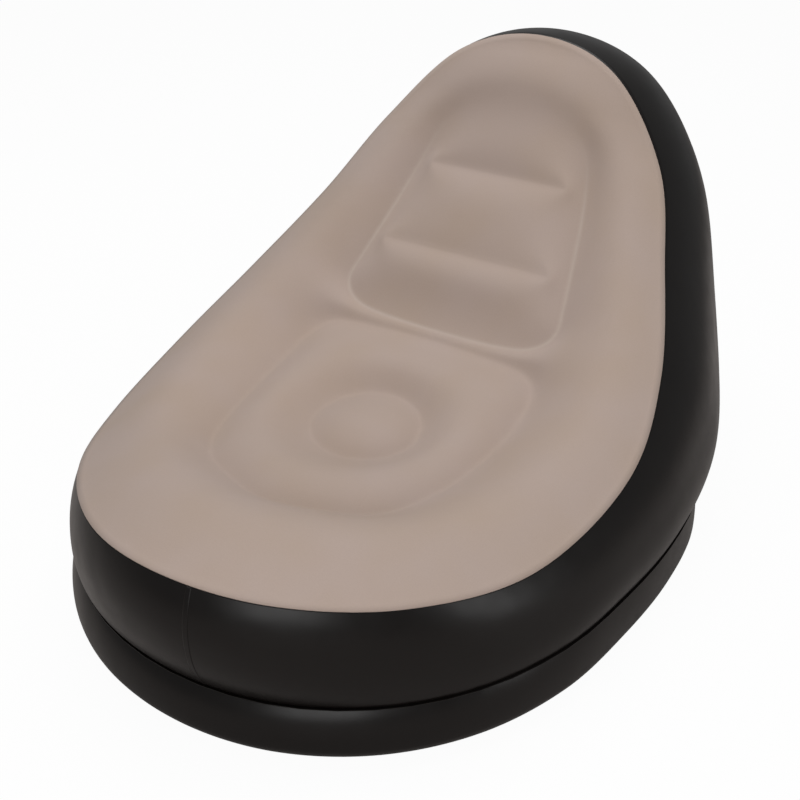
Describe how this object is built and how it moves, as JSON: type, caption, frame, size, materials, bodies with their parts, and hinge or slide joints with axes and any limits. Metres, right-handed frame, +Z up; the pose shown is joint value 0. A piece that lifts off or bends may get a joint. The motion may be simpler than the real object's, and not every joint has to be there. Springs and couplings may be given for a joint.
{
  "type": "inflatable air lounger",
  "caption": "Low inflatable lounge seat: a flocked scoop with seat and back pads, a black side wall and a rounded base ring, with screw valves at the rear.",
  "frame": {"origin": "on the floor, in the plane that halves the lounger, 0.584 m behind the front of the waist crease", "axes": "+Z is up, the lounger's front faces -Y, +X is to the sitter's left, and X = 0 is the plane that halves it"},
  "size_m": [0.9772, 1.3775, 0.752],
  "materials": {
    "flocked_pvc": "short grey-brown flock, matt",
    "black_pvc": "black film, satin, slightly textured",
    "inner_pvc": "grey film, matt",
    "valve_plastic": "moulded, fine satin",
    "valve_rubber": "soft, matt"
  },
  "bodies": {
    "lounger": {"flocked_top_panel": "flocked_pvc", "side_wall": "black_pvc", "base_wall": "black_pvc", "bottom_sheet": "black_pvc", "waist_diaphragm": "black_pvc", "seat_ring_web": "inner_pvc", "seat_centre_web": "inner_pvc", "back_loop_web": "inner_pvc", "back_lower_web": "inner_pvc", "back_upper_web": "inner_pvc", "base_ring_web": "inner_pvc", "body_valve_collar": "valve_plastic", "base_valve_collar": "valve_plastic"},
    "body_seal": {"body_valve_seal": "valve_rubber"},
    "body_plug": {"body_valve_plug": "valve_plastic", "body_valve_strap_anchor": "valve_plastic", "body_valve_flap_stud": "valve_plastic"},
    "body_cap": {"body_valve_cap": "valve_plastic"},
    "body_flap": {"body_valve_flap": "valve_rubber"},
    "base_seal": {"base_valve_seal": "valve_rubber"},
    "base_plug": {"base_valve_plug": "valve_plastic", "base_valve_strap_anchor": "valve_plastic", "base_valve_flap_stud": "valve_plastic"},
    "base_cap": {"base_valve_cap": "valve_plastic"},
    "base_flap": {"base_valve_flap": "valve_rubber"}
  },
  "joints": [
    {"name": "body_plug_advance", "type": "slide", "parent": "lounger", "child": "body_seal", "axis": [0, 1, 0], "range_m": [0, 0.009]},
    {"name": "body_plug_turn", "type": "hinge", "parent": "body_seal", "child": "body_plug", "pos_m": [0, 0.75908, 0.327], "axis": [0, 1, 0], "range_deg": [0, 1080]},
    {"name": "body_cap_lift", "type": "hinge", "parent": "body_plug", "child": "body_cap", "pos_m": [0.0145, 0.77173, 0.327], "axis": [0, 0, -1], "range_deg": [0, 140]},
    {"name": "body_flap_swing", "type": "hinge", "parent": "body_plug", "child": "body_flap", "pos_m": [0, 0.74438, 0.3375], "axis": [-1, 0, 0], "range_deg": [0, 60], "stiffness_Nm_per_rad": 0.0005, "springref_deg": -11.46},
    {"name": "base_plug_advance", "type": "slide", "parent": "lounger", "child": "base_seal", "axis": [0, 1, 0], "range_m": [0, 0.009]},
    {"name": "base_plug_turn", "type": "hinge", "parent": "base_seal", "child": "base_plug", "pos_m": [0, 0.69676, 0.0495], "axis": [0, 1, 0], "range_deg": [0, 1080]},
    {"name": "base_cap_lift", "type": "hinge", "parent": "base_plug", "child": "base_cap", "pos_m": [0.0145, 0.70941, 0.0495], "axis": [0, 0, -1], "range_deg": [0, 140]},
    {"name": "base_flap_swing", "type": "hinge", "parent": "base_plug", "child": "base_flap", "pos_m": [0, 0.68206, 0.06], "axis": [-1, 0, 0], "range_deg": [0, 60], "stiffness_Nm_per_rad": 0.0005, "springref_deg": -11.46}
  ],
  "couplings": [
    {"joint": "body_plug_turn", "follows": "body_plug_advance", "rad_per_m": 2094.4},
    {"joint": "base_plug_turn", "follows": "base_plug_advance", "rad_per_m": 2094.4}
  ]
}
